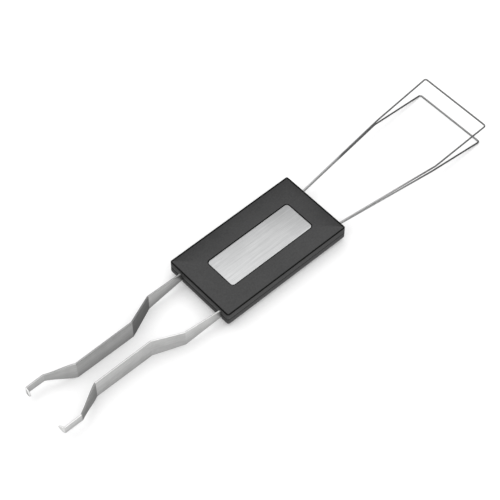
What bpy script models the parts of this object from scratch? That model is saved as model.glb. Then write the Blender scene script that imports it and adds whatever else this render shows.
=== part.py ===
"""Keycap and switch puller: a flat two-shell handle with a hooked strip spring at one end and two wire loops at the other.

Metres, +Z up, X along the tool from the hooks (-X) to the wire loops (+X). The design frame has its origin on the
tool's centre line, in the middle of the handle's length, at the handle's underside. At the end the whole tool is set
down so that it lies on the strip's lower edges and on the lower loop, centred over the origin.
"""

import math

import bmesh
import bpy
from mathutils import Matrix, Vector

# Handle
HANDLE_LENGTH = 0.0455
HANDLE_WIDTH = 0.025
HANDLE_THICKNESS = 0.0055  # at the flat land round the plate
HANDLE_SHIFT_Y = 0.0008  # the shells sit this far to one side of the steel's centre line
HANDLE_CORNER_RADIUS = 0.0007
TOP_FALL = 0.0008  # from the land down to the rim, along all four sides
TOP_LAND = 0.0002  # width of the flat land round the plate's recess
TOP_RIM_CHAMFER = 0.0005
BOTTOM_RIM_CHAMFER = 0.0003
PARTING_HEIGHT = 0.00235
PARTING_GAP = 0.0001
TOP_WALL = 0.0015
FLOOR_WALL = 0.0011
END_WALL = 0.002
RIB = 0.0012
POCKET_CORNER_RADIUS = 0.0008

# Pegs that close the shells
PEG_DIAMETER = 0.0016
PEG_LENGTH = 0.0014
PEG_INSET_X = 0.005
PEG_INSET_Y = 0.0017

# Plate let into the top
PLATE_LENGTH = 0.0309
PLATE_WIDTH = 0.0109
PLATE_THICKNESS = 0.0005
PLATE_CORNER_RADIUS = 0.001
PLATE_EDGE_CHAMFER = 0.00012
PLATE_CLEARANCE = 0.00015
PLATE_SEAT_GAP = 0.00005
PLATE_SUNK = 0.00005

# Clearance of the shells around the steel
STEEL_CLEARANCE = 0.00008
SLOT_CLEARANCE = 0.00011
SLOT_DEPTH = 0.0017  # how far the arms' slots run in from the handle's end face
SLOT_CORNER_RADIUS = 0.0002
STEEL_HEIGHT = 0.0022  # middle of the strip and of the wires, above the underside

# Hooked strip spring, one strip bent to a U. Stations are measured from the handle's end face.
STRIP_THICKNESS = 0.0005
STRIP_BEND_RADIUS = 0.00045
HOOK_BEND_RADIUS = 0.0004
NECK_BEND_RADIUS = 0.008
ARM_HALF_SPACING = 0.0084
SHOULDER_HALF_SPACING = 0.00795
WAIST_HALF_SPACING = 0.0041
TIP_HALF_SPACING = 0.0083
SHOULDER_STATION = 0.0126
WAIST_START_STATION = 0.0216
WAIST_END_STATION = 0.0413
FLARE_STATION = 0.0495
TIP_STATION = 0.0554
NECK_STATION = 0.0003
ROOT_TAPER_DEPTH = 0.0025
ROOT_DEPTH = 0.0167
ROOT_BEND_RADIUS = 0.0025
ROOT_WIDTH = 0.0028
NECK_WIDTH = 0.0034
SHOULDER_WIDTH = 0.006
WAIST_START_WIDTH = 0.0072
WAIST_END_WIDTH = 0.0068
FLARE_WIDTH = 0.0029
TIP_WIDTH = 0.0027
HOOK_LENGTH = 0.0021
HOOK_LEAN = 0.0003  # the hook's end stands this far outward of its root
HOOK_MIDDLE_WIDTH = 0.002
HOOK_END_WIDTH = 0.0005

# Wire loops. Stations are measured from the handle's other end face.
WIRE_DIAMETER = 0.0005
WIRE_STACK_GAP = 0.00006
LOOP_SHIFT_Y = -0.0005  # the loops stand this far to the other side of the centre line
LOOP_HALF_SPACING = 0.0077
LOOP_ANCHOR_DEPTH = 0.0112
LOOP_ANCHOR_HALF_SPACING = 0.0063
LOOP_ANCHOR_LENGTH = 0.003
LOOP_ANCHOR_RADIUS = 0.0008
LOOP_KINK_RADIUS = 0.004
LOOP_CORNER_RADIUS = 0.0007
UPPER_KINK_STATION = 0.0364
UPPER_KINK_HALF_SPACING = 0.0121
UPPER_KINK_RISE = 0.0007
UPPER_END_STATION = 0.0571
UPPER_END_HALF_SPACING = 0.0126
UPPER_END_RISE = 0.003
LOWER_KINK_STATION = 0.035
LOWER_KINK_HALF_SPACING = 0.0121
LOWER_KINK_DROP = 0.0006
LOWER_END_STATION = 0.0555
LOWER_END_HALF_SPACING = 0.0125

# Smoothness of the faceted solids
CORNER_STEPS = 6
SLOPE_STEPS = 4
BEND_STEPS = 5
TAPER_STEPS = 8
PEG_SIDES = 24
CUT_MARGIN = 0.001
WELD_DISTANCE = 0.000001

HALF_LENGTH = HANDLE_LENGTH / 2
SHELL_BOTTOM_OF_COVER = PARTING_HEIGHT + PARTING_GAP / 2
SHELL_TOP_OF_BASE = PARTING_HEIGHT - PARTING_GAP / 2
WIRE_RADIUS = WIRE_DIAMETER / 2
WIRE_STACK_OFFSET = WIRE_RADIUS + WIRE_STACK_GAP / 2
REST_HEIGHT = WAIST_START_WIDTH / 2 - STEEL_HEIGHT
LOWER_END_HEIGHT = WIRE_RADIUS - REST_HEIGHT


def clear_scene():
    for item in list(bpy.data.objects):
        bpy.data.objects.remove(item, do_unlink=True)


def new_object(name, bm):
    mesh = bpy.data.meshes.new(name)
    bmesh.ops.recalc_face_normals(bm, faces=bm.faces)
    bm.to_mesh(mesh)
    bm.free()
    item = bpy.data.objects.new(name, mesh)
    bpy.context.scene.collection.objects.link(item)
    return item


def as_cutter(item):
    item.hide_render = True
    item.display_type = "WIRE"
    return item


def combine(item, other, operation):
    modifier = item.modifiers.new(operation.lower(), "BOOLEAN")
    modifier.operation = operation
    modifier.solver = "EXACT"
    modifier.object = as_cutter(other)


def material(name, colour, roughness, metallic):
    made = bpy.data.materials.new(name)
    made.use_nodes = True
    shader = made.node_tree.nodes["Principled BSDF"]
    shader.inputs["Base Color"].default_value = (*colour, 1.0)
    shader.inputs["Roughness"].default_value = roughness
    shader.inputs["Metallic"].default_value = metallic
    return made


def finish(item, made, smooth_angle=math.radians(35)):
    item.data.materials.append(made)
    if item.type == "MESH":
        item.data.shade_smooth()
        item.data.set_sharp_from_angle(angle=smooth_angle)


# Rounded slabs, pockets and pegs

def rounded_slab(name, length, width, radius, low, high, centre=(0.0, 0.0)):
    """An upright prism on a rectangle with rounded corners, from height low to high."""
    bm = bmesh.new()
    corners = []
    for sx, sy in ((1, 1), (-1, 1), (-1, -1), (1, -1)):
        corners.append(bm.verts.new((centre[0] + sx * length / 2, centre[1] + sy * width / 2, low)))
    bottom = bm.faces.new(corners)
    raised = bmesh.ops.extrude_face_region(bm, geom=[bottom])
    top = [v for v in raised["geom"] if isinstance(v, bmesh.types.BMVert)]
    bmesh.ops.translate(bm, verts=top, vec=(0, 0, high - low))
    upright = [e for e in bm.edges if abs(e.verts[0].co.z - e.verts[1].co.z) > (high - low) / 2]
    bmesh.ops.bevel(bm, geom=upright, offset=radius, offset_type="OFFSET", segments=CORNER_STEPS,
                    profile=0.5, affect="EDGES", clamp_overlap=True, material=-1)
    return new_object(name, bm)


def slope_top(item, centre_y):
    """Planes the slab's flat top down from the land to all four sides, ever more steeply towards the rim.

    The slopes meet in mitres that run from the slab's corners to the land's corners."""
    bm = bmesh.new()
    bm.from_mesh(item.data)
    land_x = PLATE_LENGTH / 2 + PLATE_CLEARANCE + TOP_LAND
    land_y = PLATE_WIDTH / 2 + PLATE_CLEARANCE + TOP_LAND
    sides = [
        (Vector((1, 0, 0)), HALF_LENGTH, land_x),
        (Vector((-1, 0, 0)), HALF_LENGTH, land_x),
        (Vector((0, 1, 0)), HANDLE_WIDTH / 2 + centre_y, land_y),
        (Vector((0, -1, 0)), HANDLE_WIDTH / 2 - centre_y, land_y),
    ]
    for step in range(SLOPE_STEPS):
        share = step / SLOPE_STEPS
        next_share = (step + 1) / SLOPE_STEPS
        low = HANDLE_THICKNESS - TOP_FALL * (1 - share) ** 2
        high = HANDLE_THICKNESS - TOP_FALL * (1 - next_share) ** 2
        for outward, reach, land in sides:
            run = (next_share - share) * (reach - land)
            start = outward * (reach - share * (reach - land)) + Vector((0, 0, low))
            facing = (outward * (high - low) + Vector((0, 0, run))).normalized()
            geometry = [*bm.verts, *bm.edges, *bm.faces]
            bmesh.ops.bisect_plane(bm, geom=geometry, dist=WELD_DISTANCE, plane_co=start, plane_no=facing,
                                   clear_outer=True)
            bmesh.ops.remove_doubles(bm, verts=bm.verts, dist=WELD_DISTANCE)
            bmesh.ops.holes_fill(bm, edges=[e for e in bm.edges if e.is_boundary])
    bmesh.ops.recalc_face_normals(bm, faces=bm.faces)
    bm.to_mesh(item.data)
    bm.free()


def chamfer_rim(item, height, size, segments):
    """Breaks the edge between the upright walls and the top or bottom that meets them near a height."""
    bm = bmesh.new()
    bm.from_mesh(item.data)
    bm.normal_update()
    rim = [e for e in bm.edges
           if all(abs(v.co.z - height) < size / 2 for v in e.verts)
           and sorted(abs(f.normal.z) > 0.5 for f in e.link_faces) == [False, True]]
    bmesh.ops.bevel(bm, geom=rim, offset=size, offset_type="OFFSET", segments=segments, profile=0.5,
                    affect="EDGES", clamp_overlap=True, material=-1)
    bm.to_mesh(item.data)
    bm.free()


def peg(name, x, y, diameter, low, high):
    bm = bmesh.new()
    bmesh.ops.create_cone(bm, cap_ends=True, segments=PEG_SIDES, radius1=diameter / 2, radius2=diameter / 2,
                          depth=high - low, matrix=Matrix.Translation((x, y, (low + high) / 2)))
    return new_object(name, bm)


# Bent strip and wire

def rounded_path(corners, radii, steps=BEND_STEPS):
    """Points along a bent line with an arc at each inner corner, each with its station along the corners.

    A station is the number of the corner, with the fraction of the way to the next one."""
    points = [(Vector(corners[0]), 0.0)]
    for i in range(1, len(corners) - 1):
        here = Vector(corners[i])
        back = Vector(corners[i - 1]) - here
        ahead = Vector(corners[i + 1]) - here
        turn = math.pi - back.angle(ahead)
        if turn < math.radians(0.3):
            points.append((here, float(i)))
            continue
        cut = radii[i] * math.tan(turn / 2)
        bisector = (back.normalized() + ahead.normalized()).normalized()
        middle = here + bisector * (radii[i] / math.cos(turn / 2))
        start = here + back.normalized() * cut - middle
        axis = start.cross(here + ahead.normalized() * cut - middle).normalized()
        before = cut / back.length
        after = cut / ahead.length
        for k in range(steps + 1):
            share = k / steps
            station = i - before * (1 - 2 * share) if share < 0.5 else i + after * (2 * share - 1)
            points.append((middle + Matrix.Rotation(turn * share, 3, axis) @ start, station))
    points.append((Vector(corners[-1]), float(len(corners) - 1)))
    return points


def strip_corners():
    """Corners of the strip from one hook's end to the other's.

    Each is x, y, the strip's width, the bend radius and whether the stretch from waist to flare ends there."""
    end = -HALF_LENGTH
    side = [
        (end - TIP_STATION - HOOK_LEAN, TIP_HALF_SPACING - HOOK_LENGTH, HOOK_END_WIDTH, 0.0, False),
        (end - TIP_STATION - HOOK_LEAN / 2, TIP_HALF_SPACING - HOOK_LENGTH / 2, HOOK_MIDDLE_WIDTH, 0.0, False),
        (end - TIP_STATION, TIP_HALF_SPACING, TIP_WIDTH, HOOK_BEND_RADIUS, False),
        (end - FLARE_STATION, TIP_HALF_SPACING, FLARE_WIDTH, STRIP_BEND_RADIUS, True),
        (end - WAIST_END_STATION, WAIST_HALF_SPACING, WAIST_END_WIDTH, STRIP_BEND_RADIUS, True),
        (end - WAIST_START_STATION, WAIST_HALF_SPACING, WAIST_START_WIDTH, STRIP_BEND_RADIUS, False),
        (end - SHOULDER_STATION, SHOULDER_HALF_SPACING, SHOULDER_WIDTH, STRIP_BEND_RADIUS, False),
        (end - NECK_STATION, ARM_HALF_SPACING, NECK_WIDTH, NECK_BEND_RADIUS, False),
        (end + ROOT_TAPER_DEPTH, ARM_HALF_SPACING, ROOT_WIDTH, 0.0, False),
        (end + ROOT_DEPTH, ARM_HALF_SPACING, ROOT_WIDTH, ROOT_BEND_RADIUS, False),
    ]
    return side + [(x, -y, *rest) for x, y, *rest in side[::-1]]


def ends_of_stretch(corners, station):
    i = min(int(station), len(corners) - 2)
    return i, corners[i], corners[i + 1]


def strip_width(corners, station):
    """The strip's width at a station. From waist to flare it follows an S curve."""
    i, here, ahead = ends_of_stretch(corners, station)
    share = station - i
    if here[4] and ahead[4]:
        share = share * share * (3 - 2 * share)
    return here[2] + (ahead[2] - here[2]) * share


def strip_stations(corners):
    """The bent line's points, with more of them where the width follows a curve."""
    points = rounded_path([(c[0], c[1], 0.0) for c in corners], [c[3] for c in corners])
    full = []
    for (point, station), (after, next_station) in zip(points, points[1:]):
        full.append((point, station))
        i, here, ahead = ends_of_stretch(corners, station)
        if here[4] and ahead[4] and station < i + 0.5 < next_station:
            for k in range(1, TAPER_STEPS):
                share = k / TAPER_STEPS
                full.append((point.lerp(after, share), station + (next_station - station) * share))
    full.append(points[-1])
    return full


def band(name, rows, thickness):
    """An upright band. Each row is a point of its path, with the band's lower and upper edge there."""
    bm = bmesh.new()
    edge = None
    for point, low, high in rows:
        if edge is None:
            edge = bm.edges.new([bm.verts.new((point.x, point.y, z)) for z in (low, high)])
            continue
        made = bmesh.ops.extrude_edge_only(bm, edges=[edge])["geom"]
        edge = next(e for e in made if isinstance(e, bmesh.types.BMEdge))
        ends = sorted(edge.verts, key=lambda v: v.co.z)
        for vert, z in zip(ends, (low, high)):
            vert.co = (point.x, point.y, z)
    item = new_object(name, bm)
    wall = item.modifiers.new("thickness", "SOLIDIFY")
    wall.thickness = thickness
    wall.offset = 0.0
    wall.use_even_offset = True
    return item


def strip(name, growth=0.0):
    """The strip, or with growth the room that it needs."""
    corners = strip_corners()
    rows = []
    for point, station in strip_stations(corners):
        half = strip_width(corners, station) / 2 + growth
        rows.append((point, STEEL_HEIGHT - half, STEEL_HEIGHT + half))
    return band(name, rows, STRIP_THICKNESS + 2 * growth)


def wire_channel(name, side):
    """The room on one side for both wires, one over the other, from the anchors out past the handle's end."""
    slope = (LOOP_HALF_SPACING - LOOP_ANCHOR_HALF_SPACING) / LOOP_ANCHOR_DEPTH
    plan = [
        (HALF_LENGTH - LOOP_ANCHOR_DEPTH, LOOP_ANCHOR_HALF_SPACING - LOOP_ANCHOR_LENGTH - STEEL_CLEARANCE),
        (HALF_LENGTH - LOOP_ANCHOR_DEPTH, LOOP_ANCHOR_HALF_SPACING),
        (HALF_LENGTH + CUT_MARGIN, LOOP_HALF_SPACING + slope * CUT_MARGIN),
    ]
    corners = [(x, LOOP_SHIFT_Y + side * y, 0.0) for x, y in plan]
    half = WIRE_STACK_OFFSET + WIRE_RADIUS + STEEL_CLEARANCE
    rows = [(point, STEEL_HEIGHT - half, STEEL_HEIGHT + half)
            for point, _ in rounded_path(corners, [0.0, LOOP_ANCHOR_RADIUS, 0.0])]
    return band(name, rows, WIRE_DIAMETER + 2 * STEEL_CLEARANCE)


def loop_corners(kink, end, stack):
    """Corners of one wire loop from anchor to anchor: kink and end are (station, half spacing, height)."""
    exit_height = STEEL_HEIGHT + stack
    side = [
        (HALF_LENGTH - LOOP_ANCHOR_DEPTH, LOOP_ANCHOR_HALF_SPACING - LOOP_ANCHOR_LENGTH, exit_height),
        (HALF_LENGTH - LOOP_ANCHOR_DEPTH, LOOP_ANCHOR_HALF_SPACING, exit_height),
        (HALF_LENGTH, LOOP_HALF_SPACING, exit_height),
        (HALF_LENGTH + kink[0], kink[1], kink[2]),
        (HALF_LENGTH + end[0], end[1], end[2]),
    ]
    both = side + [(x, -y, z) for x, y, z in side[::-1]]
    return [(x, y + LOOP_SHIFT_Y, z) for x, y, z in both]


def wire(name, corners):
    """A wire along corners with its bends rounded."""
    last = len(corners) - 1
    by_corner = {0: 0.0, 1: LOOP_ANCHOR_RADIUS, 2: LOOP_KINK_RADIUS, 3: LOOP_KINK_RADIUS, 4: LOOP_CORNER_RADIUS}
    radii = [by_corner[min(i, last - i)] for i in range(last + 1)]
    points = rounded_path(corners, radii)
    curve = bpy.data.curves.new(name, "CURVE")
    curve.dimensions = "3D"
    spline = curve.splines.new("POLY")
    spline.points.add(len(points) - 1)
    for place, (point, _) in zip(spline.points, points):
        place.co = (*point, 1.0)
    curve.bevel_depth = WIRE_RADIUS
    curve.bevel_resolution = 2
    curve.use_fill_caps = True
    item = bpy.data.objects.new(name, curve)
    bpy.context.scene.collection.objects.link(item)
    return item


def loop(name, upper):
    if upper:
        kink = (UPPER_KINK_STATION, UPPER_KINK_HALF_SPACING, STEEL_HEIGHT + UPPER_KINK_RISE)
        end = (UPPER_END_STATION, UPPER_END_HALF_SPACING, STEEL_HEIGHT + UPPER_END_RISE)
        return wire(name, loop_corners(kink, end, WIRE_STACK_OFFSET))
    kink = (LOWER_KINK_STATION, LOWER_KINK_HALF_SPACING, STEEL_HEIGHT - LOWER_KINK_DROP)
    end = (LOWER_END_STATION, LOWER_END_HALF_SPACING, LOWER_END_HEIGHT)
    return wire(name, loop_corners(kink, end, -WIRE_STACK_OFFSET))


def solid_copy(item, name):
    """A mesh of the item as it stands, for use as a cutter. The item itself goes."""
    bpy.context.view_layer.update()
    graph = bpy.context.evaluated_depsgraph_get()
    mesh = bpy.data.meshes.new_from_object(item.evaluated_get(graph))
    bpy.data.objects.remove(item, do_unlink=True)
    bm = bmesh.new()
    bm.from_mesh(mesh)
    bmesh.ops.remove_doubles(bm, verts=bm.verts, dist=1e-7)
    return new_object(name, bm)


# Pieces

def steel_room(prefix):
    """Cutters for the channels that hold the strip and the wires in a shell."""
    return [
        solid_copy(strip(prefix + "_strip_source", STEEL_CLEARANCE), prefix + "_strip_room"),
        solid_copy(wire_channel(prefix + "_left_source", 1), prefix + "_left_channel"),
        solid_copy(wire_channel(prefix + "_right_source", -1), prefix + "_right_channel"),
    ]


def pocket_plans():
    """Plan boxes (x low, x high, y low, y high) of the hollows between the ribs that hold the steel."""
    half_strip = STRIP_THICKNESS / 2
    inner = ARM_HALF_SPACING - half_strip - RIB
    back = -HALF_LENGTH + ROOT_DEPTH
    anchor = HALF_LENGTH - LOOP_ANCHOR_DEPTH
    between_legs = LOOP_ANCHOR_HALF_SPACING - WIRE_RADIUS - RIB
    return [
        (-HALF_LENGTH + END_WALL, back - half_strip - RIB, -inner, inner),
        (back + half_strip + RIB, anchor - WIRE_RADIUS - RIB, -inner, inner),
        (anchor + WIRE_RADIUS + RIB, HALF_LENGTH - END_WALL,
         LOOP_SHIFT_Y - between_legs, LOOP_SHIFT_Y + between_legs),
    ]


def cut_pockets(shell, prefix, low, high):
    for number, (x0, x1, y0, y1) in enumerate(pocket_plans(), start=1):
        hollow = rounded_slab(f"{prefix}_pocket_{number}", x1 - x0, y1 - y0, POCKET_CORNER_RADIUS, low, high,
                              centre=((x0 + x1) / 2, (y0 + y1) / 2))
        combine(shell, hollow, "DIFFERENCE")


def peg_places():
    for sx in (-1, 1):
        for sy in (-1, 1):
            yield sx * (HALF_LENGTH - PEG_INSET_X), HANDLE_SHIFT_Y + sy * (HANDLE_WIDTH / 2 - PEG_INSET_Y)


def housing_cover():
    shell = rounded_slab("housing_cover", HANDLE_LENGTH, HANDLE_WIDTH, HANDLE_CORNER_RADIUS,
                         SHELL_BOTTOM_OF_COVER, HANDLE_THICKNESS, centre=(0.0, HANDLE_SHIFT_Y))
    slope_top(shell, HANDLE_SHIFT_Y)
    chamfer_rim(shell, HANDLE_THICKNESS - TOP_FALL, TOP_RIM_CHAMFER, segments=3)
    recess_depth = PLATE_SUNK + PLATE_THICKNESS + PLATE_SEAT_GAP
    recess = rounded_slab("plate_recess", PLATE_LENGTH + 2 * PLATE_CLEARANCE, PLATE_WIDTH + 2 * PLATE_CLEARANCE,
                          PLATE_CORNER_RADIUS + PLATE_CLEARANCE, HANDLE_THICKNESS - recess_depth,
                          HANDLE_THICKNESS + CUT_MARGIN)
    combine(shell, recess, "DIFFERENCE")
    cut_pockets(shell, "cover", PARTING_HEIGHT - CUT_MARGIN, HANDLE_THICKNESS - TOP_WALL)
    for room in steel_room("cover"):
        combine(shell, room, "DIFFERENCE")
    for number, (x, y) in enumerate(peg_places(), start=1):
        low = SHELL_BOTTOM_OF_COVER - PEG_LENGTH
        pin = peg(f"cover_peg_{number}", x, y, PEG_DIAMETER, low, HANDLE_THICKNESS - TOP_WALL)
        combine(shell, pin, "UNION")
    return shell


def housing_base():
    shell = rounded_slab("housing_base", HANDLE_LENGTH, HANDLE_WIDTH, HANDLE_CORNER_RADIUS,
                         0.0, SHELL_TOP_OF_BASE, centre=(0.0, HANDLE_SHIFT_Y))
    chamfer_rim(shell, 0.0, BOTTOM_RIM_CHAMFER, segments=2)
    cut_pockets(shell, "base", FLOOR_WALL, PARTING_HEIGHT + CUT_MARGIN)
    for room in steel_room("base"):
        combine(shell, room, "DIFFERENCE")
    socket_depth = PEG_LENGTH + PARTING_GAP + STEEL_CLEARANCE
    for number, (x, y) in enumerate(peg_places(), start=1):
        socket = peg(f"base_socket_{number}", x, y, PEG_DIAMETER + 2 * STEEL_CLEARANCE,
                     SHELL_BOTTOM_OF_COVER - socket_depth, PARTING_HEIGHT + CUT_MARGIN)
        combine(shell, socket, "DIFFERENCE")
    # the arms leave through slots that are open at the underside
    for side in (-1, 1):
        slot = rounded_slab(f"base_slot_{side + 2}", 2 * SLOT_DEPTH, STRIP_THICKNESS + 2 * SLOT_CLEARANCE,
                            SLOT_CORNER_RADIUS, -CUT_MARGIN, PARTING_HEIGHT + CUT_MARGIN,
                            centre=(-HALF_LENGTH, side * ARM_HALF_SPACING))
        combine(shell, slot, "DIFFERENCE")
    return shell


def inlay_plate():
    top = HANDLE_THICKNESS - PLATE_SUNK
    plate = rounded_slab("inlay_plate", PLATE_LENGTH, PLATE_WIDTH, PLATE_CORNER_RADIUS, top - PLATE_THICKNESS, top)
    chamfer_rim(plate, top, PLATE_EDGE_CHAMFER, segments=1)
    return plate


def rest_place():
    """Where the design frame stands, so that the tool lies on z = 0, centred over the origin."""
    loop_edge = max(UPPER_END_HALF_SPACING, LOWER_END_HALF_SPACING) + WIRE_RADIUS
    front = HALF_LENGTH + max(UPPER_END_STATION, LOWER_END_STATION) + WIRE_RADIUS
    hook_turn = math.atan2(HOOK_LEAN, HOOK_LENGTH)
    back = -HALF_LENGTH - TIP_STATION - HOOK_LEAN - STRIP_THICKNESS / 2 * math.cos(hook_turn)
    left = max(HANDLE_SHIFT_Y + HANDLE_WIDTH / 2, LOOP_SHIFT_Y + loop_edge)
    right = min(HANDLE_SHIFT_Y - HANDLE_WIDTH / 2, LOOP_SHIFT_Y - loop_edge)
    return Vector((-(front + back) / 2, -(left + right) / 2, REST_HEIGHT))


def build():
    clear_scene()
    black_plastic = (0.075, 0.075, 0.078)
    pieces = [
        (housing_cover(), material("cover_plastic", black_plastic, 0.55, 0.0)),
        (housing_base(), material("base_plastic", black_plastic, 0.55, 0.0)),
        (inlay_plate(), material("brushed_plate", (0.62, 0.63, 0.64), 0.35, 1.0)),
        (strip("switch_spring"), material("strip_steel", (0.55, 0.55, 0.54), 0.3, 1.0)),
        (loop("keycap_loop_upper", True), material("upper_wire_steel", (0.42, 0.42, 0.42), 0.25, 1.0)),
        (loop("keycap_loop_lower", False), material("lower_wire_steel", (0.42, 0.42, 0.42), 0.25, 1.0)),
    ]
    for item, made in pieces:
        finish(item, made)
    frame = bpy.data.objects.new("tool_frame", None)
    bpy.context.scene.collection.objects.link(frame)
    for item in bpy.context.scene.objects:
        if item is not frame:
            item.parent = frame
    frame.location = rest_place()
    bpy.context.view_layer.update()


build()
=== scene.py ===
import math

import bmesh
import bpy
from mathutils import Matrix, Vector


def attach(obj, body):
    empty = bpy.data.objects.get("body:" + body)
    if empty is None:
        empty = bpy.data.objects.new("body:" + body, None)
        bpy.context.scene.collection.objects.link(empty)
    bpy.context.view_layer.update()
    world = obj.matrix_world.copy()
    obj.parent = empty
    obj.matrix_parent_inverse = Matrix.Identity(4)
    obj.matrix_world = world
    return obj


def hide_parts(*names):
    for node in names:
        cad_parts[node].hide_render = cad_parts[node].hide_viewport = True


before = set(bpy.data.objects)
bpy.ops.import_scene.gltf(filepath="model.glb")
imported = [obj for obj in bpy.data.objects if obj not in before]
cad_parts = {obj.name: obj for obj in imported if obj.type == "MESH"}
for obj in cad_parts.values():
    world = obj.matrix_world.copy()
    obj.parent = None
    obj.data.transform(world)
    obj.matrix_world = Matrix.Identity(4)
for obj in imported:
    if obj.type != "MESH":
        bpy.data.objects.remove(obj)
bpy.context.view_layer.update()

MM = 0.001
MERGE = 1e-4

# The tool's own frame, in millimetres: x along it from the hooks to the loops, y = 0 on the steel's
# centre line, z = 0 at the handle's underside. PLACE sets it down in the row frame.
PLACE = Vector((-0.70126, 0.025, 1.4))

HALF_LENGTH = 22.75
HANDLE_WIDTH = 25.0
HANDLE_TOP = 5.5
HANDLE_Y = 0.8
CORNER_RADIUS = 0.7
CORNER_STEPS = 12
COVER_BOTTOM = 2.4
BASE_TOP = 2.3
# The top falls from a flat land to the rim. LAND is half the land's length and half its width.
TOP_FALL = 0.8
LAND = (15.8, 5.8)
SLOPE_STEPS = 12
TOP_RIM = 0.5
PARTING_RIM = 0.06
UNDERSIDE_RIM = 0.3

RECESS_LENGTH = 31.2
RECESS_WIDTH = 11.2
RECESS_RADIUS = 1.15
RECESS_DEPTH = 0.6
RECESS_BREAK = 0.25
PLATE_LENGTH = 30.9
PLATE_WIDTH = 10.9
PLATE_RADIUS = 1.0
PLATE_THICKNESS = 0.5
PLATE_SINK = 0.05
PLATE_RIM = 0.12

# Walls that are left round the hollows
TOP_WALL = 1.5
FLOOR_WALL = 1.1
END_WALL = 2.0
CROSS_WALL = 1.45
CHANNEL_WALL = 1.2
HOLLOW_RADIUS = 0.8

PEG_FROM_END = 5.0
PEG_FROM_SIDE = 1.7
PEG_RADIUS = 0.8
PEG_BOTTOM = 1.0
PEG_TOP = 3.5
SOCKET_RADIUS = 0.88
SOCKET_BOTTOM = 0.82

# Half width and half height of the mouths that the steel leaves by, and how far their edges are broken
COVER_SLOT_MOUTH = (0.3, 1.75)
BASE_SLOT_MOUTH = (0.33, 3.0)
WIRE_MOUTH = (0.3, 0.58)
MOUTH_FLARE = 0.12
SLOT_LENGTH = 3.4
SLOT_WIDTH = 0.72
SLOT_RADIUS = 0.2

# Heights past the shells' faces, which cutters run out to
ABOVE_HANDLE = 6.0
ABOVE_BASE = 4.0
BELOW_COVER = 1.0
BELOW_BASE = -1.0

STEEL_Z = 2.2
STEEL_ROOM = 0.08

STRIP_THICKNESS = 0.5
STRIP_EDGE = 0.07
STRIP_DEPTH = 16.7
NECK_Y = 8.4
# How far from the handle's end face each stretch of an arm begins
SHOULDER = 12.6
WAIST = 21.6
FLARE = 41.3
TIP = 49.5
HOOK = 55.4
# x from the handle's end face, half spacing, width, bend radius
ARM = [
    (55.7, 6.2, 0.5, 0.0),
    (55.55, 7.25, 2.0, 0.0),
    (HOOK, 8.3, 2.7, 0.4),
    (TIP, 8.3, 2.9, 0.45),
    (FLARE, 4.1, 6.8, 0.45),
    (WAIST, 4.1, 7.2, 0.45),
    (SHOULDER, 7.95, 6.0, 0.45),
    (0.3, NECK_Y, 3.4, 8.0),
    (-2.5, NECK_Y, 2.8, 0.0),
    (-STRIP_DEPTH, NECK_Y, 2.8, 2.5),
]
# The width changes gently after this corner of ARM
TAPER_CORNER = 3
TAPER_STEPS = 24
# Painted light and shade of the strip, in place of its reflections, from each station on: on the +y arm
# its faces and sheared edges, then on the -y arm
STRIP_PAINTED_LIGHT = [
    (0.0, (0.9, 0.62), (1.2, 1.2)),
    (SHOULDER, (0.45, 0.32), (1.0, 1.25)),
    (WAIST, (0.745, 0.45), (1.07, 1.0)),
    (FLARE, (0.84, 0.75), (0.94, 0.4)),
    (TIP, (0.97, 0.82), (1.29, 1.25)),
    (HOOK, (1.35, 1.3), (1.6, 1.6)),
]

WIRE_RADIUS = 0.25
WIRE_STACK = 0.28
LOOP_Y = -0.5
LOOP_EXIT = 7.7
ANCHOR_DEPTH = 11.2
ANCHOR_LENGTH = 3.0
ANCHOR_Y = 6.3
ANCHOR_BEND = 0.8
LEG_BEND = 4.0
LOOP_CORNER = 0.7
# Station, half spacing and height of the kink, then of the end
UPPER_LOOP = ((36.4, 12.1, 2.9), (57.1, 12.6, 5.2))
LOWER_LOOP = ((35.0, 12.1, 1.6), (55.5, 12.5, -1.15))

# Where the finishes and their painted light and shade change, in metres in the row frame
FAR_END = (PLACE.x + HALF_LENGTH) * MM
FAR_SIDE = (PLACE.y + HANDLE_Y + HANDLE_WIDTH / 2) * MM
STEEL_MIDDLE = (PLACE.z + STEEL_Z) * MM
CENTRE_LINE = (-0.001, 0.001)
STRIP_MOUTH_SHADE = (-0.028, -0.0235)
WIRES_PART = (0.036, 0.058)
SHADED_LEG_START = (0.038, 0.0415)
END_BARS = (0.0766, 0.0772)
BAR_HEIGHTS = (0.002, 0.005)

# The camera looks at the rim's height in the middle of the handle: degrees, then metres
CAMERA_TURN = -42.10
CAMERA_PITCH = 54.91
CAMERA_DISTANCE = 0.467
CAMERA_LEFT = 0.00241
CAMERA_DOWN = 0.00174
CAMERA_LENS = 117.43
CAMERA_SENSOR = 36.0

FLOOR_HALF_SIZE = 3.0
FLOOR_GLOW = 0.17
WORLD_FILL = 0.5
SOFTBOX_PLACE = (0.0, 0.0, 0.6)
SOFTBOX_SIZE = 1.2
SOFTBOX_POWER = 5.9


# Shapes

def new_piece(name, bm):
    mesh = bpy.data.meshes.new(name)
    bm.to_mesh(mesh)
    bm.free()
    piece = bpy.data.objects.new(name, mesh)
    bpy.context.scene.collection.objects.link(piece)
    return piece


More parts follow.
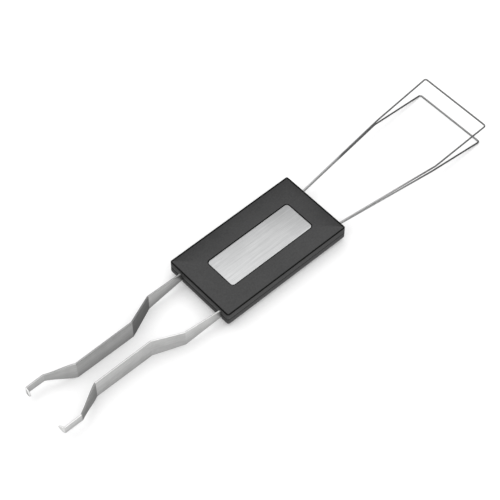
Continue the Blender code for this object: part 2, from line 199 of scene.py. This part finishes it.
def slope_top(bm, length, width, high, middle_y, steps):
    """Curves a prism's top down from the land to all four sides."""
    sides = (
        (Vector((1, 0, 0)), length / 2, LAND[0]),
        (Vector((-1, 0, 0)), length / 2, LAND[0]),
        (Vector((0, 1, 0)), width / 2 + middle_y, LAND[1]),
        (Vector((0, -1, 0)), width / 2 - middle_y, LAND[1]),
    )
    for step in range(steps):
        low_z = high - TOP_FALL * (1 - step / steps) ** 2
        high_z = high - TOP_FALL * (1 - (step + 1) / steps) ** 2
        for out, reach, land in sides:
            run = (reach - land) / steps
            foot = out * (reach - step * run) + Vector((0, 0, low_z))
            facing = (out * (high_z - low_z) + Vector((0, 0, run))).normalized()
            bmesh.ops.bisect_plane(bm, geom=[*bm.verts, *bm.edges, *bm.faces], dist=MERGE,
                                   clear_outer=True, plane_co=foot, plane_no=facing)
            bmesh.ops.remove_doubles(bm, verts=bm.verts, dist=MERGE)
            bmesh.ops.holes_fill(bm, edges=[edge for edge in bm.edges if edge.is_boundary])


def break_rim(bm, height, size, segments):
    """Rounds the edge between a prism's walls and its face at that height."""
    bm.normal_update()
    rim = [edge for edge in bm.edges if all(abs(vert.co.z - height) < size / 2 for vert in edge.verts)
           and sorted(abs(face.normal.z) > 0.5 for face in edge.link_faces) == [False, True]]
    bmesh.ops.bevel(bm, geom=rim, offset=size, offset_type="OFFSET", segments=segments, profile=0.5,
                    affect="EDGES", clamp_overlap=True, material=-1)


def slab(name, length, width, radius, low, high, steps, centre=(0.0, 0.0), rims=(), slopes=0):
    """An upright prism with round corners. rims has the height, size and segments of each rim."""
    bm = bmesh.new()
    bmesh.ops.create_cube(bm, size=1.0)
    bmesh.ops.scale(bm, verts=bm.verts, vec=(length, width, high - low))
    bmesh.ops.translate(bm, verts=bm.verts, vec=(centre[0], centre[1], (low + high) / 2))
    upright = [edge for edge in bm.edges
               if abs(edge.verts[0].co.z - edge.verts[1].co.z) > (high - low) / 2]
    bmesh.ops.bevel(bm, geom=upright, offset=radius, offset_type="OFFSET", segments=steps, profile=0.5,
                    affect="EDGES", clamp_overlap=True, material=-1)
    slope_top(bm, length, width, high, centre[1], slopes)
    for height, size, segments in rims:
        break_rim(bm, height, size, segments)
    return new_piece(name, bm)


def funnel(name, face_x, inwards, y, half_size):
    """A cutter that breaks the edges of a mouth at the steel's height in an end face."""
    half_y, half_z = half_size
    bm = bmesh.new()
    bmesh.ops.create_cube(bm, size=2.0)
    for vert in bm.verts:
        corner = vert.co.copy()
        grow = 2 * MOUTH_FLARE if corner.x * inwards < 0 else 0.0
        vert.co = (face_x + corner.x * MOUTH_FLARE, y + corner.y * (half_y + grow),
                   STEEL_Z + corner.z * (half_z + grow))
    return new_piece(name, bm)


def peg(name, x, y, radius, low, high):
    bm = bmesh.new()
    bmesh.ops.create_cone(bm, cap_ends=True, segments=32, radius1=radius, radius2=radius, depth=high - low,
                          matrix=Matrix.Translation((x, y, (low + high) / 2)))
    return new_piece(name, bm)


def bent_path(corners, radii, steps):
    """Points along a bent line with an arc in each bend. Each has its station, which is the number of
    the corner before it and the share of the way to the next."""
    points = [(Vector(corners[0]), 0.0)]
    for number in range(1, len(corners) - 1):
        here, radius = Vector(corners[number]), radii[number]
        back = Vector(corners[number - 1]) - here
        ahead = Vector(corners[number + 1]) - here
        turn = math.pi - back.angle(ahead)
        if turn < 0.005 or radius == 0:
            points.append((here, float(number)))
            continue
        cut_off = radius * math.tan(turn / 2)
        inwards = (back.normalized() + ahead.normalized()).normalized()
        middle = here + inwards * (radius / math.cos(turn / 2))
        start = here + back.normalized() * cut_off - middle
        axis = start.cross(here + ahead.normalized() * cut_off - middle).normalized()
        for step in range(steps + 1):
            share = step / steps
            leg = back if share < 0.5 else ahead
            point = middle + Matrix.Rotation(turn * share, 3, axis) @ start
            points.append((point, number + cut_off / leg.length * (2 * share - 1)))
    points.append((Vector(corners[-1]), float(len(corners) - 1)))
    return points


def band(name, rows, thickness):
    """An upright band round the steel's middle height, as a surface with its thickness as a modifier.

    Each row is a point of its path and half its height there."""
    bm = bmesh.new()
    edge = None
    for point, half in rows:
        ends = [(point.x, point.y, STEEL_Z + side * half) for side in (-1, 1)]
        if edge is None:
            edge = bm.edges.new([bm.verts.new(end) for end in ends])
            continue
        made = bmesh.ops.extrude_edge_only(bm, edges=[edge])["geom"]
        edge = next(part for part in made if isinstance(part, bmesh.types.BMEdge))
        for vert, end in zip(sorted(edge.verts, key=lambda vert: vert.co.z), ends):
            vert.co = end
    bmesh.ops.recalc_face_normals(bm, faces=bm.faces)
    piece = new_piece(name, bm)
    wall = piece.modifiers.new("thickness", "SOLIDIFY")
    wall.thickness = thickness
    wall.offset = 0.0
    wall.use_even_offset = True
    return piece


def strip_ribbon(name, growth, steps):
    """The strip from hook to hook, larger all round by growth."""
    side = [(-HALF_LENGTH - x, y, width, radius) for x, y, width, radius in ARM]
    corners = side + [(x, -y, width, radius) for x, y, width, radius in side[::-1]]
    last = len(corners) - 1
    tapers = (TAPER_CORNER, last - TAPER_CORNER - 1)
    path = bent_path([(x, y, 0.0) for x, y, _, _ in corners], [corner[3] for corner in corners], steps)
    dense = []
    for (point, station), (after, next_station) in zip(path, path[1:]):
        dense.append((point, station))
        if int(station) in tapers and next_station - station > 0.5:
            for step in range(1, TAPER_STEPS):
                share = step / TAPER_STEPS
                dense.append((point.lerp(after, share), station + (next_station - station) * share))
    dense.append(path[-1])
    rows = []
    for point, station in dense:
        number = min(int(station), last - 1)
        share = station - number
        if number in tapers:
            share = share * share * (3 - 2 * share)
        width, next_width = corners[number][2], corners[number + 1][2]
        rows.append((point, (width + (next_width - width) * share) / 2 + growth))
    return band(name, rows, STRIP_THICKNESS + 2 * growth)


def wire_channel(name, side):
    """The room on one side for both wires, one over the other. It runs 1 mm out of the end face."""
    slope = (LOOP_EXIT - ANCHOR_Y) / ANCHOR_DEPTH
    plan = [
        (HALF_LENGTH - ANCHOR_DEPTH, ANCHOR_Y - ANCHOR_LENGTH - STEEL_ROOM),
        (HALF_LENGTH - ANCHOR_DEPTH, ANCHOR_Y),
        (HALF_LENGTH + 1.0, LOOP_EXIT + slope),
    ]
    path = bent_path([(x, LOOP_Y + side * y, 0.0) for x, y in plan], [0.0, ANCHOR_BEND, 0.0], steps=8)
    half = WIRE_STACK + WIRE_RADIUS + STEEL_ROOM
    return band(name, [(point, half) for point, _ in path], 2 * (WIRE_RADIUS + STEEL_ROOM))


def wire_loop(name, shape, stack):
    (kink_x, kink_y, kink_z), (end_x, end_y, end_z) = shape
    exit_z = STEEL_Z + stack
    side = [
        (HALF_LENGTH - ANCHOR_DEPTH, ANCHOR_Y - ANCHOR_LENGTH, exit_z, 0.0),
        (HALF_LENGTH - ANCHOR_DEPTH, ANCHOR_Y, exit_z, ANCHOR_BEND),
        (HALF_LENGTH, LOOP_EXIT, exit_z, LEG_BEND),
        (HALF_LENGTH + kink_x, kink_y, kink_z, LEG_BEND),
        (HALF_LENGTH + end_x, end_y, end_z, LOOP_CORNER),
    ]
    both = side + [(x, -y, z, radius) for x, y, z, radius in side[::-1]]
    path = bent_path([(x, y + LOOP_Y, z) for x, y, z, _ in both], [row[3] for row in both], steps=14)
    curve = bpy.data.curves.new(name, "CURVE")
    curve.dimensions = "3D"
    spline = curve.splines.new("POLY")
    spline.points.add(len(path) - 1)
    for place, (point, _) in zip(spline.points, path):
        place.co = (*point, 1.0)
    curve.bevel_depth = WIRE_RADIUS
    curve.bevel_resolution = 6
    curve.use_fill_caps = True
    piece = bpy.data.objects.new(name, curve)
    bpy.context.scene.collection.objects.link(piece)
    return piece


def settled(piece, name=None, normals=False):
    """The piece as a plain mesh with its modifiers applied. The object that it came from goes."""
    bpy.context.view_layer.update()
    graph = bpy.context.evaluated_depsgraph_get()
    mesh = bpy.data.meshes.new_from_object(piece.evaluated_get(graph))
    name = name or piece.name
    cutters = [modifier.object for modifier in piece.modifiers if modifier.type == "BOOLEAN"]
    for old in [piece] + cutters:
        bpy.data.objects.remove(old, do_unlink=True)
    bm = bmesh.new()
    bm.from_mesh(mesh)
    bmesh.ops.remove_doubles(bm, verts=bm.verts, dist=MERGE)
    if normals:
        bmesh.ops.recalc_face_normals(bm, faces=bm.faces)
    return new_piece(name, bm)


def cut(piece, cutter, operation="DIFFERENCE"):
    modifier = piece.modifiers.new(operation.lower(), "BOOLEAN")
    modifier.operation = operation
    modifier.solver = "EXACT"
    modifier.object = cutter


def finished(piece, material, node, smooth=35):
    """Sets a piece down in the row frame, in metres, in place of its CAD node."""
    piece.data.transform(Matrix.Scale(MM, 4) @ Matrix.Translation(PLACE))
    piece.data.materials.clear()
    piece.data.materials.append(material)
    piece.data.shade_smooth()
    piece.data.set_sharp_from_angle(angle=math.radians(smooth))
    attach(piece, "root")
    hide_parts(node)
    return piece


def crease_mitres(piece):
    """Keeps the mitres between the cover's four slopes crisp."""
    bm = bmesh.new()
    bm.from_mesh(piece.data)
    bm.normal_update()
    for edge in bm.edges:
        run = edge.verts[0].co - edge.verts[1].co
        slanting = min(abs(run.x), abs(run.y)) > 0.3 * run.length
        if slanting and all(face.normal.z > 0.9 for face in edge.link_faces):
            edge.smooth = False
    bm.to_mesh(piece.data)
    bm.free()


# Shader maths

class Value:
    """A shader socket that adds Math nodes as it is used in an expression."""

    def __init__(self, shader, socket):
        self.shader, self.socket = shader, socket

    def math(self, operation, *others):
        return self.shader.node("ShaderNodeMath", {"operation": operation}, [self, *others])

    def __add__(self, other):
        return self.math("ADD", other)

    def __radd__(self, other):
        return self.math("ADD", other)

    def __sub__(self, other):
        return self.math("SUBTRACT", other)

    def __rsub__(self, other):
        return (self * -1.0).math("ADD", other)

    def __mul__(self, other):
        return self.math("MULTIPLY", other)

    def __rmul__(self, other):
        return self.math("MULTIPLY", other)

    def __truediv__(self, other):
        return self.math("DIVIDE", other)

    def __pow__(self, other):
        return self.math("POWER", other)

    def smooth(self, low, high):
        """0 below low and 1 above high, with a smooth step between."""
        return self.shader.node("ShaderNodeMapRange", {"interpolation_type": "SMOOTHSTEP"},
                                {"Value": self, "From Min": low, "From Max": high})


class Nodes:
    """A node tree to which every other node is added by one method."""

    def __init__(self, tree):
        self.tree = tree

    def node(self, kind, settings, inputs, output=0):
        made = self.tree.nodes.new(kind)
        for key, value in settings.items():
            setattr(made, key, value)
        pairs = inputs.items() if isinstance(inputs, dict) else enumerate(inputs)
        for key, value in pairs:
            if isinstance(value, Value):
                self.tree.links.new(value.socket, made.inputs[key])
            else:
                made.inputs[key].default_value = value
        return Value(self, made.outputs[output])

    def parts(self, vector):
        """The three numbers of a vector."""
        split = self.node("ShaderNodeSeparateXYZ", {}, {"Vector": vector})
        return [Value(self, split.socket.node.outputs[number]) for number in range(3)]


class Shader(Nodes):
    """The node tree of one material, with its Principled shader."""

    def __init__(self, name, colour, roughness, metallic, **constants):
        self.material = bpy.data.materials.new(name)
        self.material.use_nodes = True
        super().__init__(self.material.node_tree)
        self.principled = self.tree.nodes["Principled BSDF"]
        self.principled.inputs["Base Color"].default_value = (*colour, 1.0)
        self.principled.inputs["Roughness"].default_value = roughness
        self.principled.inputs["Metallic"].default_value = metallic
        for socket, value in constants.items():
            self.principled.inputs[socket.replace("_", " ")].default_value = value
        self.place = self.node("ShaderNodeTexCoord", {}, {}, "Object")

    def noise(self, scale, detail=3.0, roughness=0.5, turn=(0.0, 0.0, 0.0), shift=(0.0, 0.0, 0.0)):
        """Noise with that many waves to the metre along each axis."""
        mapped = self.node("ShaderNodeMapping", {},
                           {"Vector": self.place, "Location": shift, "Rotation": turn, "Scale": scale})
        return self.node("ShaderNodeTexNoise", {"normalize": True},
                         {"Vector": mapped, "Scale": 1.0, "Detail": detail, "Roughness": roughness})

    def mix(self, share, first, second):
        first, second = (value if isinstance(value, Value) else (*value, 1.0) for value in (first, second))
        return self.node("ShaderNodeMix", {"data_type": "RGBA"}, {0: share, 6: first, 7: second}, 2)

    def bump(self, height, distance, strength):
        return self.node("ShaderNodeBump", {},
                         {"Height": height, "Distance": distance, "Strength": strength})

    def feed(self, **sockets):
        for socket, value in sockets.items():
            self.tree.links.new(value.socket, self.principled.inputs[socket.replace("_", " ")])
        return self.material


# Finishes

def moulded_plastic():
    """Black plastic from a spark-eroded mould: a fine even grain, faint rubbed patches and hairline handling
    marks. The rims carry painted shade: they are darker, with their reflection turned down. The rims at
    +x and +y are the widest."""
    finish = Shader("black_moulded_plastic", (0.02, 0.02, 0.02), 0.42, 0.0, IOR=1.5)
    grain = finish.noise((9000.0, 9000.0, 9000.0), detail=2.0, roughness=0.6)
    pits = finish.noise((3500.0, 3500.0, 3500.0), detail=1.0)
    speckle = finish.noise((1900.0, 1900.0, 1900.0), detail=3.0, roughness=0.6)
    cloud = finish.noise((90.0, 90.0, 90.0), detail=3.0)
    rubbed = finish.noise((260.0, 900.0, 260.0), detail=4.0, turn=(0.0, 0.0, 0.5)).smooth(0.55, 0.75)
    hairline = finish.noise((150.0, 14000.0, 150.0), detail=2.0, turn=(0.0, 0.0, 0.9)).smooth(0.68, 0.72)

    # Painted shade on the rims: a near-black colour, less roughness and some metal turn their reflection
    # down. The band reaches further in at +x and +y.
    upward = finish.parts(finish.node("ShaderNodeTexCoord", {}, {}, "Normal"))[2].math("ABSOLUTE")
    x, y, _ = finish.parts(finish.place)
    inset = (FAR_END - x).math("MINIMUM", FAR_SIDE - y)
    land = upward.smooth(0.93, 0.965) * inset.smooth(0.0006, 0.0009)
    rim = upward.smooth(0.1, 0.35) * (1 - land)

    mottle = (cloud * 0.4 + speckle * 0.6).smooth(0.3, 0.7)
    colour = finish.mix(mottle, (0.012, 0.012, 0.0124), (0.028, 0.028, 0.0285))
    colour = finish.mix(rim, colour, (0.006, 0.006, 0.006))
    roughness = 0.40 + cloud * 0.06 + grain * 0.05 - rubbed * 0.04 - hairline * 0.05 - rim * 0.2
    height = grain * 0.6 + pits * 0.4 - hairline * 0.25
    return finish.feed(Base_Color=colour, Roughness=roughness, Metallic=rim * 0.7,
                       Normal=finish.bump(height, 0.000012, 0.5))


def brushed_plate():
    """Aluminium brushed lengthwise: fine and coarse lines, a few deeper strokes, a soft cloudiness."""
    finish = Shader("brushed_aluminium", (0.66, 0.665, 0.67), 0.34, 1.0)
    fine = finish.noise((160.0, 14000.0, 400.0), detail=3.0, roughness=0.65)
    coarse = finish.noise((60.0, 2500.0, 200.0), detail=2.0)
    strokes = finish.noise((220.0, 5200.0, 220.0), detail=2.0, shift=(3.0, 7.0, 0.0)).smooth(0.62, 0.75)
    cloud = finish.noise((120.0, 160.0, 120.0), detail=2.0)
    lines = fine * 0.6 + coarse * 0.4
    tone = (lines * 0.8 + cloud * 0.2 - strokes * 0.12).smooth(0.3, 0.7)
    colour = finish.mix(tone, (0.385, 0.388, 0.39), (0.535, 0.538, 0.54))
    roughness = 0.30 + lines * 0.12 + strokes * 0.05
    return finish.feed(Base_Color=colour, Roughness=roughness,
                       Normal=finish.bump(lines - strokes * 0.3, 0.00001, 0.4))


def strip_steel():
    """Rolled spring steel: lines along the strip, a light grey bloom and painted light and shade for each
    stretch. Painted shade makes it darker low down and where it enters the handle."""
    finish = Shader("spring_steel_strip", (0.5, 0.5, 0.495), 0.36, 1.0)
    rolled = finish.noise((180.0, 180.0, 11000.0), detail=3.0, roughness=0.6)
    bands = finish.noise((70.0, 70.0, 1800.0), detail=2.0)
    bloom = finish.noise((420.0, 420.0, 420.0), detail=4.0)
    scuff = finish.noise((900.0, 900.0, 5200.0), detail=3.0, turn=(0.35, 0.0, 0.0)).smooth(0.62, 0.74)
    lines = (rolled * 0.45 + bands * 0.25 + bloom * 0.3).smooth(0.34, 0.66)

    x, y, z = finish.parts(finish.place)
    # Painted shade: darker low down, more steeply on the +y arm, and darker where the strip enters the
    # handle.
    low_shade_slope = 40.0 + y.smooth(*CENTRE_LINE) * 42.0
    height = 0.934 + (z - STEEL_MIDDLE) * low_shade_slope
    mouth = x.smooth(*STRIP_MOUTH_SHADE)
    # Painted light and shade of each stretch. Where it is brightest, mainly on the hooks, the metal gives
    # way to a painted highlight.
    tone = finish.node("ShaderNodeAttribute", {"attribute_type": "GEOMETRY", "attribute_name": "tone"},
                       {}, "Fac")
    level = (0.54 + lines * 0.16) * tone * height * (1 - mouth * 0.25)
    colour = finish.mix(level, (0.0, 0.0, 0.0), (0.85, 0.85, 0.843))
    roughness = 0.30 + rolled * 0.08 + bloom * 0.1 + scuff * 0.06
    return finish.feed(Base_Color=colour, Roughness=roughness, Metallic=1 - tone.smooth(1.25, 1.6) * 0.9,
                       Normal=finish.bump(rolled + scuff * 0.3, 0.000008, 0.35))


def wire_steel():
    """Drawn spring wire: faint die lines and a slight grey bloom. It darkens on the way to the kinks, with
    painted shade on a stretch of the +y legs, and painted light makes it brighter at the end bars, the lower
    one above all."""
    finish = Shader("spring_steel_wire", (0.3, 0.3, 0.3), 0.28, 1.0)
    drawn = finish.noise((300.0, 9000.0, 9000.0), detail=2.0)
    bloom = finish.noise((700.0, 700.0, 700.0), detail=3.0)
    lines = (drawn * 0.5 + bloom * 0.5).smooth(0.35, 0.65)

    x, y, z = finish.parts(finish.place)
    far_leg = y.smooth(*CENTRE_LINE)
    parted = (x + far_leg * 0.002).smooth(*WIRES_PART)
    # Painted shade on a stretch of the +y legs, and painted light on the end bars, more on the lower one.
    painted_leg_shade = x.smooth(*SHADED_LEG_START) * (1 - parted) * far_leg
    end_bar_light = x.smooth(*END_BARS) * (0.15 + (1 - z.smooth(*BAR_HEIGHTS)) * 0.85)
    level = (0.8 + lines * 0.16) * (1 - parted * 0.67) * (1 - painted_leg_shade * 0.72) * (1 + end_bar_light)
    colour = finish.mix(level, (0.0, 0.0, 0.0), (0.5, 0.5, 0.498))
    roughness = 0.22 + bloom * 0.12 + drawn * 0.04
    return finish.feed(Base_Color=colour, Roughness=roughness, Normal=finish.bump(drawn, 0.000005, 0.3))


# Pieces

def steel_rooms(prefix):
    """Cutters for the strip's channel and the wires' channels."""
    rooms = [strip_ribbon(prefix + "_strip", STEEL_ROOM, 8)]
    rooms += [wire_channel(f"{prefix}_wires_{side}", side) for side in (-1, 1)]
    return [settled(room, room.name + "_room", normals=True) for room in rooms]


def hollow_plans():
    """Where the shells are hollow between their channels: from and to in x, then in y."""
    back = -HALF_LENGTH + STRIP_DEPTH
    anchor = HALF_LENGTH - ANCHOR_DEPTH
    legs = ANCHOR_Y - WIRE_RADIUS - CHANNEL_WALL
    arms = NECK_Y - STRIP_THICKNESS / 2 - CHANNEL_WALL
    return [
        (-HALF_LENGTH + END_WALL, back - CROSS_WALL, -arms, arms),
        (back + CROSS_WALL, anchor - CROSS_WALL, -arms, arms),
        (anchor + CROSS_WALL, HALF_LENGTH - END_WALL, LOOP_Y - legs, LOOP_Y + legs),
    ]


def hollow_out(shell, low, high):
    for number, (x0, x1, y0, y1) in enumerate(hollow_plans()):
        cut(shell, slab(f"{shell.name}_hollow_{number}", x1 - x0, y1 - y0, HOLLOW_RADIUS, low, high,
                        steps=6, centre=((x0 + x1) / 2, (y0 + y1) / 2)))


def peg_places():
    out_x = HALF_LENGTH - PEG_FROM_END
    out_y = HANDLE_WIDTH / 2 - PEG_FROM_SIDE
    return [(end * out_x, HANDLE_Y + side * out_y) for end in (-1, 1) for side in (-1, 1)]


def open_mouths(shell, prefix, slot_mouth):
    """Breaks the edges of the mouths that the steel leaves the handle by."""
    for side in (-1, 1):
        cut(shell, funnel(f"{prefix}_slot_mouth_{side}", -HALF_LENGTH, 1, side * NECK_Y, slot_mouth))
        wire_y = side * LOOP_EXIT + LOOP_Y
        cut(shell, funnel(f"{prefix}_wire_mouth_{side}", HALF_LENGTH, -1, wire_y, WIRE_MOUTH))


def handle_cover():
    rims = ((HANDLE_TOP - TOP_FALL, TOP_RIM, 6), (COVER_BOTTOM, PARTING_RIM, 2))
    shell = slab("handle_cover", 2 * HALF_LENGTH, HANDLE_WIDTH, CORNER_RADIUS, COVER_BOTTOM, HANDLE_TOP,
                 steps=CORNER_STEPS, centre=(0.0, HANDLE_Y), rims=rims, slopes=SLOPE_STEPS)
    cut(shell, slab("recess", RECESS_LENGTH, RECESS_WIDTH, RECESS_RADIUS, HANDLE_TOP - RECESS_DEPTH,
                    ABOVE_HANDLE, steps=12))
    lip = HANDLE_TOP - RECESS_BREAK / 2
    cut(shell, slab("recess_mouth", RECESS_LENGTH + 2 * RECESS_BREAK, RECESS_WIDTH + 2 * RECESS_BREAK,
                    RECESS_RADIUS + RECESS_BREAK, lip, ABOVE_HANDLE, steps=12,
                    rims=((lip, RECESS_BREAK, 1),)))
    hollow_out(shell, BELOW_COVER, HANDLE_TOP - TOP_WALL)
    for room in steel_rooms("cover"):
        cut(shell, room)
    open_mouths(shell, "cover", COVER_SLOT_MOUTH)
    for number, (x, y) in enumerate(peg_places()):
        cut(shell, peg(f"cover_peg_{number}", x, y, PEG_RADIUS, PEG_BOTTOM, PEG_TOP), "UNION")
    return settled(shell)


def handle_base():
    rims = ((0.0, UNDERSIDE_RIM, 4), (BASE_TOP, PARTING_RIM, 2))
    shell = slab("handle_base", 2 * HALF_LENGTH, HANDLE_WIDTH, CORNER_RADIUS, 0.0, BASE_TOP,
                 steps=CORNER_STEPS, centre=(0.0, HANDLE_Y), rims=rims)
    hollow_out(shell, FLOOR_WALL, ABOVE_BASE)
    for room in steel_rooms("base"):
        cut(shell, room)
    for number, (x, y) in enumerate(peg_places()):
        cut(shell, peg(f"base_socket_{number}", x, y, SOCKET_RADIUS, SOCKET_BOTTOM, ABOVE_BASE))
    for side in (-1, 1):
        cut(shell, slab(f"base_slot_{side}", SLOT_LENGTH, SLOT_WIDTH, SLOT_RADIUS, BELOW_BASE, ABOVE_BASE,
                        steps=6, centre=(-HALF_LENGTH, side * NECK_Y)))
    open_mouths(shell, "base", BASE_SLOT_MOUTH)
    return settled(shell)


def plate():
    top = HANDLE_TOP - PLATE_SINK
    return settled(slab("inlay_plate_brushed", PLATE_LENGTH, PLATE_WIDTH, PLATE_RADIUS,
                        top - PLATE_THICKNESS, top, steps=14, rims=((top, PLATE_RIM, 3),)))


def paint_stretch_light(strip):
    """Gives each face of the strip the painted light and shade of its stretch."""
    painted_levels = strip.data.attributes.new("tone", "FLOAT", "FACE")
    for face, tone in zip(strip.data.polygons, painted_levels.data):
        reach = max(-HALF_LENGTH - face.center.x, 0.0)
        stretch = max((row for row in STRIP_PAINTED_LIGHT if row[0] <= reach), key=lambda row: row[0])
        far_arm, near_arm = stretch[1:]
        face_painted_level, edge_painted_level = near_arm if face.center.y < 0 else far_arm
        tone.value = edge_painted_level if abs(face.normal.z) > 0.5 else face_painted_level
    return strip


def gripper_strip():
    ribbon = strip_ribbon("hooked_strip", 0.0, 14)
    edges = ribbon.modifiers.new("edges", "BEVEL")
    edges.limit_method = "ANGLE"
    edges.angle_limit = math.radians(60)
    edges.width = STRIP_EDGE
    edges.segments = 3
    edges.use_clamp_overlap = True
    return paint_stretch_light(settled(ribbon, normals=True))


plastic = moulded_plastic()
steel_wire = wire_steel()
crease_mitres(finished(handle_cover(), plastic, "housing_cover"))
finished(handle_base(), plastic, "housing_base")
finished(plate(), brushed_plate(), "inlay_plate")
finished(gripper_strip(), strip_steel(), "switch_spring")
upper_wire = settled(wire_loop("keycap_wire_upper", UPPER_LOOP, WIRE_STACK), normals=True)
finished(upper_wire, steel_wire, "keycap_loop_upper", smooth=50)
lower_wire = settled(wire_loop("keycap_wire_lower", LOWER_LOOP, -WIRE_STACK), normals=True)
finished(lower_wire, steel_wire, "keycap_loop_lower", smooth=50)


# Studio

def aim_camera():
    """A long lens at the photograph's angle, moved a little to the left and down to frame the tool."""
    turn, pitch = math.radians(CAMERA_TURN), math.radians(CAMERA_PITCH)
    right = Vector((math.cos(turn), math.sin(turn), 0.0))
    back = Vector((math.sin(turn) * math.cos(pitch), -math.cos(turn) * math.cos(pitch), math.sin(pitch)))
    up = back.cross(right)
    handle_top = (PLACE + Vector((0.0, HANDLE_Y, HANDLE_TOP - TOP_FALL))) * MM
    data = bpy.data.cameras.new("camera")
    data.sensor_width = CAMERA_SENSOR
    data.lens = CAMERA_LENS
    data.clip_start = 0.01
    data.clip_end = 20.0
    camera = bpy.data.objects.new("camera", data)
    bpy.context.scene.collection.objects.link(camera)
    place = handle_top + back * CAMERA_DISTANCE - right * CAMERA_LEFT - up * CAMERA_DOWN
    turned = Matrix((right, up, back)).transposed().to_4x4()
    camera.matrix_world = Matrix.Translation(place) @ turned
    bpy.context.scene.camera = camera


def overhead_softbox():
    """A square lamp straight above, facing down."""
    data = bpy.data.lights.new("overhead_softbox", "AREA")
    data.shape = "SQUARE"
    data.size = SOFTBOX_SIZE
    data.energy = SOFTBOX_POWER
    lamp = bpy.data.objects.new("overhead_softbox", data)
    bpy.context.scene.collection.objects.link(lamp)
    lamp.location = SOFTBOX_PLACE


def white_floor():
    """A matt white floor with a faint glow, on which the tool's soft shadow falls. Gloss doesn't see it."""
    bm = bmesh.new()
    bmesh.ops.create_grid(bm, x_segments=1, y_segments=1, size=FLOOR_HALF_SIZE)
    floor = new_piece("floor", bm)
    finish = Shader("white_floor", (0.8, 0.8, 0.8), 1.0, 0.0, Specular_IOR_Level=0.0,
                    Emission_Color=(1.0, 1.0, 1.0, 1.0), Emission_Strength=FLOOR_GLOW)
    floor.data.materials.append(finish.material)
    floor.visible_glossy = False


def pale_world():
    """White to the camera and an even fill for the rest. Gloss sees a pale room below the horizon, with
    two dark flags towards +x and towards -x and +y, and a dim one above it."""
    world = bpy.data.worlds.new("studio")
    bpy.context.scene.world = world
    world.use_nodes = True
    sky = Nodes(world.node_tree)
    x, y, z = sky.parts(sky.node("ShaderNodeTexCoord", {}, {}, "Generated"))
    flat = (x * x + y * y + 0.0001) ** 0.5
    end_flag = ((x * 0.995 + y * 0.1) / flat).smooth(0.45, 1.0)
    side_flag = ((x * -0.67 + y * 0.743) / flat).smooth(0.55, 1.0)
    below = 0.9 - end_flag * 0.6 - side_flag * 0.5
    above = 0.2 + z.smooth(0.35, 1.0) * 0.13
    horizon = z.smooth(-0.12, 0.0)
    gloss_level = below * (1 - horizon) + above * horizon
    camera_ray = sky.node("ShaderNodeLightPath", {}, {}, "Is Camera Ray")
    glossy_ray = Value(sky, camera_ray.socket.node.outputs["Is Glossy Ray"])
    level = camera_ray + (1 - camera_ray) * (glossy_ray * gloss_level + (1 - glossy_ray) * WORLD_FILL)
    background = sky.tree.nodes["Background"]
    background.inputs["Color"].default_value = (1.0, 1.0, 1.0, 1.0)
    sky.tree.links.new(level.socket, background.inputs["Strength"])


aim_camera()
white_floor()
pale_world()
overhead_softbox()

bpy.context.scene.view_settings.view_transform = "Standard"
